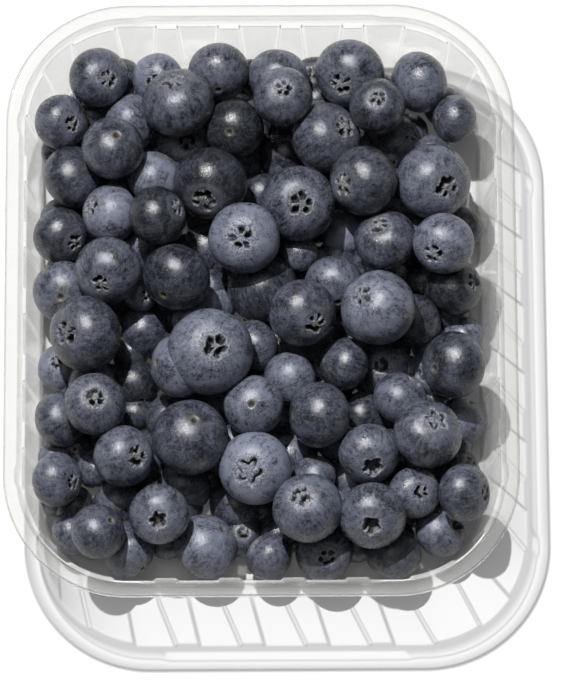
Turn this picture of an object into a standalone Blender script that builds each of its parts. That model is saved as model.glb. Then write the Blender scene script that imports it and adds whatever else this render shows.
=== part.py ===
"""A clear plastic punnet filled with two layers of blueberries.

The punnet is one thermoformed sheet: a flat flange with a turned-down lip, a shallow step and
ledge below it, and leaning walls with pressed-out panels that run down to a flat base.
The blueberries are one solid out to the uneven outline of their heap.

Metres, +Z up, +Y towards the back. The origin is under the middle of the base.
"""

import math

import bmesh
import bpy
import numpy as np

MM = 0.001

# Punnet, outside
RIM_WIDTH = 119.7 * MM
RIM_LENGTH = 142 * MM
RIM_HEIGHT = 27 * MM
CORNER_RADIUS = 28.8 * MM
SHEET = 0.5 * MM

# The sheet's upper face, as insets from the rim's outline and heights above the base
LIP_DROP = 1.3 * MM
RIM_BREAK = 0.3 * MM
FLANGE = 3.4 * MM
STEP_DEPTH = 3.6 * MM
STEP_LEAN = 0.4 * MM
LEDGE = 1.2 * MM
WALL_LEAN = 2.3 * MM
FOOT_HEIGHT = 3.0 * MM
FOOT_ROUND = 2.9 * MM
FOOT_MIDDLE_ACROSS = 0.3 * FOOT_ROUND
FOOT_MIDDLE_UP = 0.25 * FOOT_ROUND

# Panels pressed outwards into the walls
PANEL_DEPTH = 0.6 * MM
PANEL_EDGE = 0.8 * MM
PANEL_HALF = 4.3 * MM
PANEL_HALF_BELOW = 3.4 * MM
PANEL_END_HEIGHT = 6.0 * MM
END_PANEL_PITCH = 14.75 * MM
SIDE_PANEL_PITCH = 16.05 * MM
ARC_STEP = 3.3 * MM
DOUBLES = 1e-6
SEAM = 1e-5

# Heap of blueberries
CLEARANCE = 0.3 * MM
CORNER_PARTS = 8
GRID_STEP = 2.7 * MM
LOWEST_TOP = 5 * MM
FILL_SPREAD, FILL_DROP = 3.5 * MM, 7 * MM
UPPER_HEIGHT, MIDDLE_HEIGHT, LOWER_HEIGHT = 20.5 * MM, 13.5 * MM, 7.0 * MM
FRONT_HEIGHT = 9.8 * MM

# Settling: the share of its way home that a berry takes in each round, across and in height
LOOSE_HOLD = (0.2, 0.2, 0.04)
SETTLED_HOLD = (0.2, 0.2, 0.02)
LOOSE_ROUNDS = 200
SETTLED_ROUNDS = 120
PASSES = 3
SINK = 0.03 * MM
PRESSED = 0.985
WALL_ROOM = 1.006

# Berries that fill the gaps below: least and most radius, and how far they crowd their gap
BIG_FILLER, SMALL_FILLER, MOST_FILLER = 5.0 * MM, 3.4 * MM, 7.2 * MM
SNUG, CROWDED = 1.06, 1.28
LOW_FIRST = 0.02
SPOTS = ((-52, 53, 2.5), (-64, 65, 2.5), (5, 14, 1.5))
SPOT_JITTER = 0.6 * MM
SPOT_SEED = 5
# The patch of base at the back right that no filling berry covers
BARE_X = 50 * MM
BARE_Y = 38 * MM
BARE_RADIUS = 9 * MM

# Where the blueberries lie, each as x, y and diameter in millimetres, from the back to the front
UPPER_BERRIES = (
    (-19.4, 48.5, 16.5), (6, 48.3, 13.5), (26.9, 46.6, 13), (-6.3, 42.8, 13.5), (15.9, 40.9, 16.5),
    (-35.1, 36.7, 14.5), (-11.9, 28.9, 17), (23.4, 29.1, 16), (40.7, 29.3, 17.5), (9.1, 23.4, 17),
    (-34.7, 22.2, 13.5), (-25.2, 20.1, 14), (-3.7, 14.8, 16), (29.3, 15.2, 14), (43.1, 12.9, 14.2),
    (-36, 6.5, 15.5), (-19.8, 5.6, 15.5), (10, -2.7, 15.5), (27.2, -1.6, 17.5), (-40.8, -6.8, 17),
    (-11.4, -12.6, 19.5), (45.1, -15.2, 15), (-39, -24.5, 14), (-1.7, -26.2, 13.5), (13.4, -27.1, 15),
    (-16.5, -32.4, 17.5), (38.5, -31.8, 15.5), (-32.2, -36.5, 14), (-1.3, -38.8, 16.5), (25.2, -36.1, 14),
    (47, -45.7, 13), (-23.9, -50.3, 13.5), (10.4, -49.1, 16), (25.9, -51.1, 15), (-38.1, -54.3, 12.5),
)
MIDDLE_BERRIES = (
    (-38, 55.2, 14), (-24.5, 56.6, 12), (-10.2, 57.6, 14), (4.7, 56.8, 14), (21.5, 56.9, 16), (38, 54.8, 14),
    (45.9, 45.8, 11), (-47.7, 45.8, 12.5), (-31.1, 46.7, 13.5), (-43.6, 32.7, 14.5), (-25.6, 31.6, 13),
    (-47.2, 17.2, 13), (-47.8, 5.3, 14), (0.2, 5.5, 16.5), (17.2, 5.9, 13.5), (45.2, 5.3, 13),
    (36.7, -1.7, 13), (-2.3, -9, 12), (-48.9, -25.7, 12.5), (6.6, -17.5, 12.5), (19.6, -13.6, 12),
    (32.6, -21.9, 12.5), (-48.5, -41.3, 12), (35.2, -45.2, 11.5),
)
LOWER_BERRIES = (
    (33.9, 42.8, 12), (5.1, 40.2, 11.5), (-0.1, 29.3, 11.5), (47.8, 21.8, 10.5), (20, 19.7, 11.5),
    (-12.2, 17.1, 12), (-10.8, 3.6, 10), (47.7, -5.2, 10), (-28.3, -3.9, 12.5), (-47.9, -11.9, 11),
    (-18.9, -11.4, 12), (-29.9, -17.3, 12), (-22.9, -24.9, 12), (24.6, -24.6, 11.5), (49.1, -25.8, 11.5),
    (7, -33.5, 12), (-39, -37.3, 9.5), (46, -38.2, 11.5), (20.5, -40.6, 12), (-18.5, -41.4, 12.5),
    (-34, -43.6, 11.5), (-5.5, -45.8, 12), (-44.8, -52.3, 10.5),
)
FRONT_BERRIES = (
    (-31.1, -57.3, 12), (-13.1, -55.9, 15), (1.6, -57.6, 11), (14.9, -57.6, 13), (30.4, -57.7, 13),
    (41.9, -52.7, 12),
)


def clear_scene():
    for obj in list(bpy.data.objects):
        bpy.data.objects.remove(obj, do_unlink=True)


def collection(name):
    made = bpy.data.collections.new(name)
    bpy.context.scene.collection.children.link(made)
    return made


def material(name, colour, roughness, alpha=1.0):
    made = bpy.data.materials.new(name)
    made.use_nodes = True
    shader = made.node_tree.nodes["Principled BSDF"]
    shader.inputs["Base Color"].default_value = (*colour, 1.0)
    shader.inputs["Roughness"].default_value = roughness
    shader.inputs["Metallic"].default_value = 0.0
    shader.inputs["Alpha"].default_value = alpha
    return made


def object_from(bm, name, home):
    mesh = bpy.data.meshes.new(name)
    bm.to_mesh(mesh)
    bm.free()
    obj = bpy.data.objects.new(name, mesh)
    home.objects.link(obj)
    return obj


# ---------------------------------------------------------------- outline

STRAIGHT_X = RIM_WIDTH / 2 - CORNER_RADIUS
STRAIGHT_Y = RIM_LENGTH / 2 - CORNER_RADIUS
LEDGE_INSET = FLANGE + STEP_LEAN + LEDGE
WALL_ARC = CORNER_RADIUS - LEDGE_INSET
ARC_LENGTH = WALL_ARC * math.pi / 2
QUARTER = STRAIGHT_X + ARC_LENGTH + STRAIGHT_Y


def outline_point(along, inset):
    """The point a distance along the back right quarter, from the back's middle to the side's."""
    radius = CORNER_RADIUS - inset
    if along <= STRAIGHT_X:
        return along, RIM_LENGTH / 2 - inset
    if along >= STRAIGHT_X + ARC_LENGTH:
        return RIM_WIDTH / 2 - inset, QUARTER - along
    turn = (along - STRAIGHT_X) / WALL_ARC
    return STRAIGHT_X + radius * math.sin(turn), STRAIGHT_Y + radius * math.cos(turn)


def panel_centres():
    """Distances of the panels along a quarter: the back's, the corner's and the side's."""
    back = [k * END_PANEL_PITCH for k in range(3)]
    corner = [STRAIGHT_X + ARC_LENGTH / 2]
    side = [QUARTER - (k + 0.5) * SIDE_PANEL_PITCH for k in (2, 1, 0)]
    return back + corner + side


def stations():
    """(centre of panel, side, pressed out) for each line that runs down the wall."""
    lines = []
    for centre in panel_centres():
        for side, pressed in ((-1, False), (-1, True), (1, True), (1, False)):
            lines.append((centre, side, pressed))
    lines[:2] = []
    lines.insert(0, (0.0, 0, True))
    lines.append((QUARTER, 0, False))
    return lines


def along_at(line, half):
    """Where a line lies along the quarter when the panel is this wide."""
    centre, side, pressed = line
    return centre + side * (half + (0 if pressed else PANEL_EDGE))


def with_arc_lines(lines):
    """Adds plain lines wherever two neighbours on the round corner lie far apart."""
    filled = [lines[0]]
    for line in lines[1:]:
        start, end = along_at(filled[-1], PANEL_HALF), along_at(line, PANEL_HALF)
        middle = (start + end) / 2
        on_arc = STRAIGHT_X < middle < STRAIGHT_X + ARC_LENGTH
        parts = max(1, math.ceil((end - start) / ARC_STEP)) if on_arc else 1
        pressed = filled[-1][2] and line[2]
        for k in range(1, parts):
            filled.append((start + (end - start) * k / parts, 0, pressed))
        filled.append(line)
    return filled


# ---------------------------------------------------------------- punnet

def sheet_levels():
    """(inset, height, panel depth, panel half width) from the lip down to the base."""
    top = RIM_HEIGHT
    step_foot = top - STEP_DEPTH
    wall_foot = LEDGE_INSET + WALL_LEAN
    drop = (step_foot - PANEL_END_HEIGHT) / (step_foot - FOOT_HEIGHT)
    above = LEDGE_INSET + WALL_LEAN * drop
    return [
        (0, top - LIP_DROP, 0, PANEL_HALF),
        (0, top - RIM_BREAK, 0, PANEL_HALF),
        (RIM_BREAK, top, 0, PANEL_HALF),
        (FLANGE, top, 0, PANEL_HALF),
        (FLANGE + STEP_LEAN, step_foot, 0, PANEL_HALF),
        (LEDGE_INSET, step_foot, PANEL_DEPTH, PANEL_HALF),
        (above, PANEL_END_HEIGHT, PANEL_DEPTH, PANEL_HALF_BELOW),
        (wall_foot, FOOT_HEIGHT, 0, PANEL_HALF_BELOW),
        (wall_foot + FOOT_MIDDLE_ACROSS, SHEET + FOOT_MIDDLE_UP, 0, PANEL_HALF_BELOW),
        (wall_foot + FOOT_ROUND, SHEET, 0, PANEL_HALF_BELOW),
    ]


def punnet(home, finish):
    """A quarter of the sheet's upper face, mirrored twice and given its thickness."""
    levels = sheet_levels()
    lines = with_arc_lines(stations())
    bm = bmesh.new()
    bmesh.ops.create_grid(bm, x_segments=len(lines) - 1, y_segments=len(levels), size=0.5)
    for vert in bm.verts:
        column = round((vert.co.x + 0.5) * (len(lines) - 1))
        row = round((0.5 - vert.co.y) * len(levels))
        if row == len(levels):
            vert.co = (0, 0, SHEET)
            continue
        inset, height, depth, half = levels[row]
        pressed = depth if lines[column][2] else 0
        along = along_at(lines[column], half)
        vert.co = (*outline_point(along, inset - pressed), height)
    bmesh.ops.remove_doubles(bm, verts=bm.verts, dist=DOUBLES)
    bmesh.ops.recalc_face_normals(bm, faces=bm.faces)
    if max(bm.faces, key=lambda face: face.calc_center_median().z).normal.z < 0:
        bmesh.ops.reverse_faces(bm, faces=bm.faces)
    obj = object_from(bm, "punnet", home)
    quarters = obj.modifiers.new("four_quarters", "MIRROR")
    quarters.use_axis = (True, True, False)
    quarters.use_clip = True
    quarters.merge_threshold = SEAM
    thickness = obj.modifiers.new("sheet", "SOLIDIFY")
    thickness.thickness = SHEET
    thickness.offset = -1
    thickness.use_even_offset = True
    obj.data.materials.append(finish)
    return obj


# ---------------------------------------------------------------- blueberries

def wall_distance(x, y, z):
    """Distance inwards from the narrowest line of the wall at height z, below 0 inside it."""
    wall_top = RIM_HEIGHT - STEP_DEPTH
    slope = WALL_LEAN / (wall_top - FOOT_HEIGHT)
    inset = LEDGE_INSET + (wall_top - np.minimum(z, wall_top)) * slope
    over_x = np.abs(x) - STRAIGHT_X
    over_y = np.abs(y) - STRAIGHT_Y
    round_part = np.sqrt(np.maximum(over_x, 0) ** 2 + np.maximum(over_y, 0) ** 2)
    return round_part + np.minimum(np.maximum(over_x, over_y), 0) - (CORNER_RADIUS - inset)


def push_apart(places, radii):
    """One pass that moves touching berries apart and keeps them in the punnet."""
    first, second = np.triu_indices(len(places), 1)
    step = places[second] - places[first]
    distance = np.sqrt(step[:, 0] ** 2 + step[:, 1] ** 2 + step[:, 2] ** 2)
    overlap = radii[first] + radii[second] - distance
    touching = overlap > 0
    first, second = first[touching], second[touching]
    shift = step[touching] * (overlap[touching] / distance[touching] / 2)[:, None]
    moves, touches = np.zeros_like(places), np.zeros(len(places))
    np.add.at(moves, first, -shift)
    np.add.at(moves, second, shift)
    np.add.at(touches, first, 1)
    np.add.at(touches, second, 1)
    places += moves / np.maximum(1, touches / 2)[:, None]
    places[:, 2] = np.maximum(places[:, 2], SHEET + radii)
    x, y, z = places.T
    tiny = 1e-6
    outside = wall_distance(x, y, z)
    slope_x = (wall_distance(x + tiny, y, z) - outside) / tiny
    slope_y = (wall_distance(x, y + tiny, z) - outside) / tiny
    excess = np.maximum(outside + radii * WALL_ROOM, 0)
    places[:, 0] -= excess * slope_x
    places[:, 1] -= excess * slope_y


def fill_gaps(places, radii, spots, least, swell):
    """Adds a berry in the roomiest spot, again and again, while one of least radius fits."""
    most = MOST_FILLER
    x, y, z = spots.T
    free = np.minimum(z - SHEET, -wall_distance(x, y, z))
    free[np.hypot(x - BARE_X, y - BARE_Y) < BARE_RADIUS] = 0
    for place, radius in zip(places, radii):
        free = np.minimum(free, np.sqrt(((spots - place) ** 2).sum(axis=1)) - radius)
    while True:
        best = int(np.argmax(np.minimum(free, most) - z * LOW_FIRST))
        if free[best] < least:
            best = int(np.argmax(free))
        if free[best] < least:
            return places, radii
        radius = min(free[best] * swell, most)
        places = np.vstack([places, spots[best]])
        radii = np.append(radii, radius)
        free = np.minimum(free, np.sqrt(((spots - spots[best]) ** 2).sum(axis=1)) - radius)


def berry_spots():
    """A jittered lattice of places that a filling berry may take."""
    axes = [np.arange(low, high, step) * MM for low, high, step in SPOTS]
    spots = np.stack(np.meshgrid(*axes, indexing="ij"), -1).reshape(-1, 3)
    return spots + np.random.default_rng(SPOT_SEED).uniform(-SPOT_JITTER, SPOT_JITTER, spots.shape)


def settled_berries():
    """Centres and radii of the whole heap: the berries that show, then those that fill below."""
    home, radii = [], []
    for berries, height in (
        (UPPER_BERRIES, UPPER_HEIGHT),
        (MIDDLE_BERRIES, MIDDLE_HEIGHT),
        (LOWER_BERRIES, LOWER_HEIGHT),
        (FRONT_BERRIES, FRONT_HEIGHT),
    ):
        home += [(x * MM, y * MM, height) for x, y, _ in berries]
        radii += [diameter * MM / 2 for _, _, diameter in berries]
    home, radii = np.array(home), np.array(radii)
    shown = len(home)
    places = home.copy()
    for _ in range(LOOSE_ROUNDS):
        places += (home - places) * LOOSE_HOLD
        push_apart(places, radii)
    spots = berry_spots()
    places, radii = fill_gaps(places, radii, spots, BIG_FILLER, SNUG)
    places, radii = fill_gaps(places, radii, spots, SMALL_FILLER, CROWDED)
    for _ in range(SETTLED_ROUNDS):
        places[:, 2] -= SINK
        places[:shown] += (home - places[:shown]) * SETTLED_HOLD
        for _ in range(PASSES):
            push_apart(places, radii * PRESSED)
    return places, radii


def heap_top(x, y, places, radii):
    """Height of the uppermost berry over a point, or of the fill that closes the gaps."""
    squared = (places[:, 0] - x) ** 2 + (places[:, 1] - y) ** 2
    tops = [LOWEST_TOP]
    for spread, drop in ((0, 0), (FILL_SPREAD, FILL_DROP)):
        across = (radii + spread) ** 2 - squared
        over = across > 0
        tops.extend(places[over, 2] - drop + np.sqrt(across[over]))
    return float(max(tops))


def punnet_inside(home):
    """Cutter: the room between the walls, clear of the sheet by the working gap."""
    wall_foot = LEDGE_INSET + WALL_LEAN + CLEARANCE
    levels = (
        (wall_foot + FOOT_ROUND, SHEET + CLEARANCE),
        (wall_foot + FOOT_MIDDLE_ACROSS, SHEET + FOOT_MIDDLE_UP + CLEARANCE),
        (wall_foot, FOOT_HEIGHT + CLEARANCE),
        (LEDGE_INSET + CLEARANCE, RIM_HEIGHT - STEP_DEPTH),
        (LEDGE_INSET + CLEARANCE, 2 * RIM_HEIGHT),
    )
    arc_points = [STRAIGHT_X + ARC_LENGTH * k / CORNER_PARTS for k in range(CORNER_PARTS + 1)]
    bm = bmesh.new()
    rings = []
    for inset, height in levels:
        quarter = [outline_point(along, inset) for along in arc_points]
        right = quarter + [(x, -y) for x, y in reversed(quarter)]
        whole = right + [(-x, y) for x, y in reversed(right)]
        verts = [bm.verts.new((x, y, height)) for x, y in whole]
        rings.append([bm.edges.new(pair) for pair in zip(verts, verts[1:] + verts[:1])])
    for lower, upper in zip(rings, rings[1:]):
        bmesh.ops.bridge_loops(bm, edges=lower + upper)
    for ring in (rings[0], rings[-1]):
        bmesh.ops.contextual_create(bm, geom=ring)
    bmesh.ops.recalc_face_normals(bm, faces=bm.faces)
    obj = object_from(bm, "punnet_inside", home)
    obj.hide_render = True
    obj.display_type = "WIRE"
    return obj


def blueberries(home, cutters, finish):
    """A bumpy slab over the whole punnet, cut to the room between the walls."""
    places, radii = settled_berries()
    columns = round(RIM_WIDTH / GRID_STEP)
    rows = round(RIM_LENGTH / GRID_STEP)
    bm = bmesh.new()
    bmesh.ops.create_grid(bm, x_segments=columns, y_segments=rows, size=0.5)
    for vert in bm.verts:
        x, y = vert.co.x * RIM_WIDTH, vert.co.y * RIM_LENGTH
        vert.co = (x, y, heap_top(x, y, places, radii))
    border = [edge for edge in bm.edges if edge.is_boundary]
    made = bmesh.ops.extrude_edge_only(bm, edges=border)["geom"]
    for vert in made:
        if isinstance(vert, bmesh.types.BMVert):
            vert.co.z = -RIM_HEIGHT
    bmesh.ops.contextual_create(bm, geom=[edge for edge in bm.edges if edge.is_boundary])
    bmesh.ops.recalc_face_normals(bm, faces=bm.faces)
    obj = object_from(bm, "blueberries", home)
    cut = obj.modifiers.new("room_between_walls", "BOOLEAN")
    cut.operation = "INTERSECT"
    cut.solver = "EXACT"
    cut.object = punnet_inside(cutters)
    obj.data.materials.append(finish)
    return obj


clear_scene()
parts = collection("blueberry_punnet")
helpers = collection("cutters")
punnet(parts, material("clear_plastic", (0.86, 0.89, 0.87), 0.08, alpha=0.35))
blueberries(parts, helpers, material("bloomed_skin", (0.055, 0.065, 0.105), 0.45))
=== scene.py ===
"""The looks of a clear plastic punnet filled with two layers of blueberries.

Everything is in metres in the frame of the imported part: +Z up, +Y towards the back, and the
origin under the middle of the base. The sheet of the punnet and every berry are real meshes.
"""

import math

import bmesh
import bpy
import numpy as np
from mathutils import Euler, Matrix, Vector


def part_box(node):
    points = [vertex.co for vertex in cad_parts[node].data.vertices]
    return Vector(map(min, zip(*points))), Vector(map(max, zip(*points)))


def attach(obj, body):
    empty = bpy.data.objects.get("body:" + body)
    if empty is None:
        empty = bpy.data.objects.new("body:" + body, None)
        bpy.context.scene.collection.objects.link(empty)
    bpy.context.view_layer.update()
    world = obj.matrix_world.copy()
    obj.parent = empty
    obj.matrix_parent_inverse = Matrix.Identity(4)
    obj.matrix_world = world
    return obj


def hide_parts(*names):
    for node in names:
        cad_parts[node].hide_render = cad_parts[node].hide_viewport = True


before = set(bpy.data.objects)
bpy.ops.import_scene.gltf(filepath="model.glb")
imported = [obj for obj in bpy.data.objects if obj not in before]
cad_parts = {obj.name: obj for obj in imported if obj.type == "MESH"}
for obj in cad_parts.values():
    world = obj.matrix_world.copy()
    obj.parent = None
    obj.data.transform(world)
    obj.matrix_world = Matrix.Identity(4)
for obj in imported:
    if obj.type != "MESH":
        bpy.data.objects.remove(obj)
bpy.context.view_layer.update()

MM = 0.001
TINY = 1e-6

# ---------------------------------------------------------------- sizes

PUNNET_LOW, PUNNET_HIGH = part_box("punnet")
RIM_WIDTH = PUNNET_HIGH.x - PUNNET_LOW.x
RIM_LENGTH = PUNNET_HIGH.y - PUNNET_LOW.y
RIM_HEIGHT = PUNNET_HIGH.z - PUNNET_LOW.z
CORNER_RADIUS = 28.8 * MM

# The sheet's upper face, as insets from the rim's outline and heights above the base
SHEET = 0.28 * MM
BASE_FACE = 0.5 * MM
LIP_DROP = 1.3 * MM
FLANGE = 3.4 * MM
STEP_DEPTH = 3.6 * MM
STEP_LEAN = 0.4 * MM
LEDGE = 1.2 * MM
WALL_LEAN = 2.3 * MM
FOOT_ROUND = 2.9 * MM
FOOT_HEIGHT = 3.0 * MM
FOOT_SLACK = 0.25 * MM
BASE_EDGE = 3 * MM

# Radii of the folds, each with the pieces it is made of
LIP_BEND, STEP_BEND, LEDGE_BEND, FOOT_BEND = (0.55 * MM, 5), (0.5 * MM, 5), (0.3 * MM, 4), (2.6 * MM, 7)
NO_BEND = (0, 0)

# Panels pressed outwards into the walls
PANEL_DEPTH = 0.6 * MM
PANEL_EDGE = 0.8 * MM
PANEL_HALF = 4.3 * MM
PANEL_HALF_BELOW = 3.4 * MM
PANEL_END_HEIGHT = 6.0 * MM
PANEL_FADE = 2.6 * MM
END_PANEL_PITCH = 14.75 * MM
SIDE_PANEL_PITCH = 16.05 * MM

# Stacking details of the step: it stands further out along the ends and at two nibs a side
END_SHIFT = 0.5 * MM
END_SHIFT_HALF = 28 * MM
END_SHIFT_EASE = 1.5 * MM
NIB_AT = 42.5 * MM
NIB_HALF = 2.0 * MM
NIB_EASE = 0.6 * MM
NIB_DEPTH = 0.5 * MM

# ---------------------------------------------------------------- berries

UPPER_HEIGHT, MIDDLE_HEIGHT, LOWER_HEIGHT = 20.5 * MM, 13.5 * MM, 7.0 * MM
FRONT_HEIGHT = 9.8 * MM

# Each berry that shows: x, y and diameter in mm, what shows (c crown, o open crown, e closed crown,
# s stem scar, n neither), how far that end leans from straight up and its heading in degrees, and
# how thick its bloom is
UPPER_BERRIES = (
    (-19.4, 48.5, 16.5, "c", 35, 105, 0.3), (6, 48.3, 13.5, "c", 5, 55, 0.4),
    (26.9, 46.6, 13, "c", 5, 90, 0.2), (-6.3, 42.8, 13.5, "s", 25, -115, 0.1),
    (15.9, 40.9, 16.5, "c", 40, 15, 0.3), (-35.1, 36.7, 14.5, "s", 15, 50, 0.3),
    (-11.9, 28.9, 17, "c", 50, -105, 0.1), (23.4, 29.1, 16, "c", 50, -160, 0.2),
    (40.7, 29.3, 17.5, "c", 35, -45, 0.5), (9.1, 23.4, 17, "c", 15, -70, 0.4),
    (-34.7, 22.2, 13.5, "c", 50, 170, 0.8), (-25.2, 20.1, 14, "c", 55, 15, 0.1),
    (-3.7, 14.8, 16, "c", 15, -110, 0.8), (29.3, 15.2, 14, "c", 30, 125, 0.3),
    (43.1, 12.9, 14.2, "c", 45, -125, 0.7), (-36, 6.5, 15.5, "c", 45, -110, 0.4),
    (-19.8, 5.6, 15.5, "n", 120, 60, 0.2), (10, -2.7, 15.5, "c", 45, -50, 0.3),
    (27.2, -1.6, 17.5, "c", 35, 160, 0.7), (-40.8, -6.8, 17, "c", 40, -165, 0.3),
    (-11.4, -12.6, 19.5, "c", 10, -25, 0.7), (45.1, -15.2, 15, "n", 130, 20, 0.2),
    (-39, -24.5, 14, "c", 5, 40, 0.4), (-1.7, -26.2, 13.5, "s", 10, -120, 0.6),
    (13.4, -27.1, 15, "s", 65, -175, 0.3), (-16.5, -32.4, 17.5, "s", 20, 65, 0.3),
    (38.5, -31.8, 15.5, "e", 25, 50, 0.4), (-32.2, -36.5, 14, "c", 35, -15, 0.5),
    (-1.3, -38.8, 16.5, "e", 20, -125, 1), (25.2, -36.1, 14, "o", 45, -80, 0.5),
    (47, -45.7, 13, "c", 65, -5, 0.3), (-23.9, -50.3, 13.5, "o", 25, -95, 0.5),
    (10.4, -49.1, 16, "c", 20, 135, 0.5), (25.9, -51.1, 15, "o", 35, -95, 0.4),
    (-38.1, -54.3, 12.5, "s", 40, 30, 0.3),
)
MIDDLE_BERRIES = (
    (-38, 55.2, 14, "c", 30, -35, 0.4), (-24.5, 56.6, 12, "c", 30, -110, 0.8),
    (-10.2, 57.6, 14, "n", 120, 90, 0.4), (4.7, 56.8, 14, "n", 100, 80, 0.4),
    (21.5, 56.9, 16, "c", 45, -120, 0.4), (38, 54.8, 14, "n", 110, 20, 0.5),
    (45.9, 45.8, 11, "n", 120, 0, 0.3), (-47.7, 45.8, 12.5, "c", 40, -30, 0.4),
    (-31.1, 46.7, 13.5, "n", 110, 150, 0.6), (-43.6, 32.7, 14.5, "n", 140, 200, 0.2),
    (-25.6, 31.6, 13, "n", 120, 240, 0.8), (-47.2, 17.2, 13, "c", 50, -35, 0.2),
    (-47.8, 5.3, 14, "s", 25, -100, 0.5), (0.2, 5.5, 16.5, "n", 130, 300, 0.2),
    (17.2, 5.9, 13.5, "n", 120, 100, 0.5), (45.2, 5.3, 13, "c", 50, 5, 0.1),
    (36.7, -1.7, 13, "n", 110, 30, 0.2), (-2.3, -9, 12, "n", 120, 20, 0.4),
    (-48.9, -25.7, 12.5, "n", 130, 190, 0.4), (6.6, -17.5, 12.5, "n", 110, 40, 0.6),
    (19.6, -13.6, 12, "n", 120, 350, 0.3), (32.6, -21.9, 12.5, "c", 65, 50, 0.5),
    (-48.5, -41.3, 12, "c", 55, -15, 0.5), (35.2, -45.2, 11.5, "c", 20, -30, 0.5),
)
LOWER_BERRIES = (
    (33.9, 42.8, 12, "c", 30, 20, 0.4), (5.1, 40.2, 11.5, "n", 120, 0, 0.2),
    (-0.1, 29.3, 11.5, "n", 120, 40, 0.2), (47.8, 21.8, 10.5, "n", 120, 90, 0.3),
    (20, 19.7, 11.5, "n", 120, 160, 1), (-12.2, 17.1, 12, "n", 120, 200, 0.3),
    (-10.8, 3.6, 10, "n", 120, 250, 0.7), (47.7, -5.2, 10, "n", 120, 300, 0.6),
    (-28.3, -3.9, 12.5, "n", 120, 20, 0.3), (-47.9, -11.9, 11, "c", 15, 150, 0.8),
    (-18.9, -11.4, 12, "n", 120, 70, 0.4), (-29.9, -17.3, 12, "n", 120, 110, 0.1),
    (-22.9, -24.9, 12, "n", 120, 150, 0.3), (24.6, -24.6, 11.5, "n", 120, 190, 0.2),
    (49.1, -25.8, 11.5, "n", 120, 240, 0.5), (7, -33.5, 12, "n", 120, 280, 0.5),
    (-39, -37.3, 9.5, "n", 120, 310, 0.5), (46, -38.2, 11.5, "c", 50, 25, 0.3),
    (20.5, -40.6, 12, "n", 120, 10, 0.4), (-18.5, -41.4, 12.5, "n", 120, 60, 0.5),
    (-34, -43.6, 11.5, "n", 120, 100, 0.3), (-5.5, -45.8, 12, "n", 120, 170, 0.3),
    (-44.8, -52.3, 10.5, "n", 120, 210, 0.5),
)
FRONT_BERRIES = (
    (-31.1, -57.3, 12, "s", 75, -50, 0.6), (-13.1, -55.9, 15, "n", 130, 220, 0.7),
    (1.6, -58.5, 11, "c", 60, 145, 0.4), (14.9, -57.6, 13, "c", 25, -75, 0.4),
    (30.4, -57.7, 13, "n", 120, 250, 0.3), (41.9, -52.7, 12, "o", 50, 15, 0.6),
)

# The berry with another grown onto it, the way to that one and its share of the size
TWIN_ON = (-11.5 * MM, -12.5 * MM)
TWIN_WAY, TWIN_SHARE = (-0.72, -0.26, -0.3), 0.74

# Settling, as for the solid heap: the share of its way home a berry takes in each round, x, y and z
LOOSE_HOLD = (0.2, 0.2, 0.04)
SETTLED_HOLD = (0.2, 0.2, 0.02)
LOOSE_ROUNDS = 200
SETTLED_ROUNDS = 120
PASSES = 3
SINK = 0.03 * MM
# How much of their size berries keep where they press together, and the room they keep to the wall
PRESSED = 0.985
WALL_ROOM = 1.006
# Filling berries: the least radius of the two rounds, the most, how far past its gap each swells,
# and how much a low gap is favoured over a high one
BIG_FILLER, SMALL_FILLER, MOST_FILLER = 5.0 * MM, 3.4 * MM, 7.2 * MM
SNUG, CROWDED = 1.06, 1.28
LOW_FIRST = 0.02
# The lattice they are set on: first, last and step in mm along x, y and z
SPOTS = ((-52, 53, 2.5), (-64, 65, 2.5), (5, 14, 1.5))
SPOT_JITTER = 0.6 * MM
SPOT_SEED = 5
# How thick their bloom is, and the seed of that and of their turns
HIDDEN_BLOOM, HIDDEN_SEED = (0.2, 0.6), 11
# The patch of base at the back right that no filling berry covers
BARE_X, BARE_Y, BARE_RADIUS = 50 * MM, 38 * MM, 9 * MM

# Berries on the base under the heap, and the spots (x, y, radius in mm) where the base stays bare
LOW_PITCH, LOW_RADII, LOW_MARGIN = 8.8 * MM, (4.4 * MM, 5.4 * MM), 1.5 * MM
LOW_ROWS, LOW_COLUMNS = range(-8, 9), range(-5, 6)
LOW_ROW_SHARE, LOW_JITTER, LOW_HEIGHT_SHARE, LOW_BLOOM = 0.87, 1 * MM, 0.95, 0.2
BARE_SPOTS = ((-24, 20, 1.5), (-7, 3, 1.5), (-24.5, -15.5, 1.5), (-25.5, -36.5, 1.5), (-42, -38, 2),
              (38.7, -57.6, 2), (-50.7, -50.4, 3), (-37.4, -59.6, 1), (51, 38, 7))


# ---------------------------------------------------------------- helpers

def linear(code):
    """An sRGB hex value as linear light, with full alpha."""
    parts = [int(code[k:k + 2], 16) / 255 for k in (0, 2, 4)]
    return (*[c / 12.92 if c <= 0.04045 else ((c + 0.055) / 1.055) ** 2.4 for c in parts], 1.0)


def smoothstep(low, high, value):
    """0 up to low and 1 from high on, with a soft run between."""
    t = np.clip((value - low) / (high - low), 0, 1)
    return t * t * (3 - 2 * t)


def ridge(value, middle, width):
    """A soft ridge, 1 high, along value == middle."""
    return np.exp(-(((value - middle) / width) ** 2))


def object_from(bm, name):
    """A smooth object made of a bmesh, which is freed."""
    mesh = bpy.data.meshes.new(name)
    bm.to_mesh(mesh)
    bm.free()
    mesh.shade_smooth()
    obj = bpy.data.objects.new(name, mesh)
    bpy.context.scene.collection.objects.link(obj)
    return obj


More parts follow.
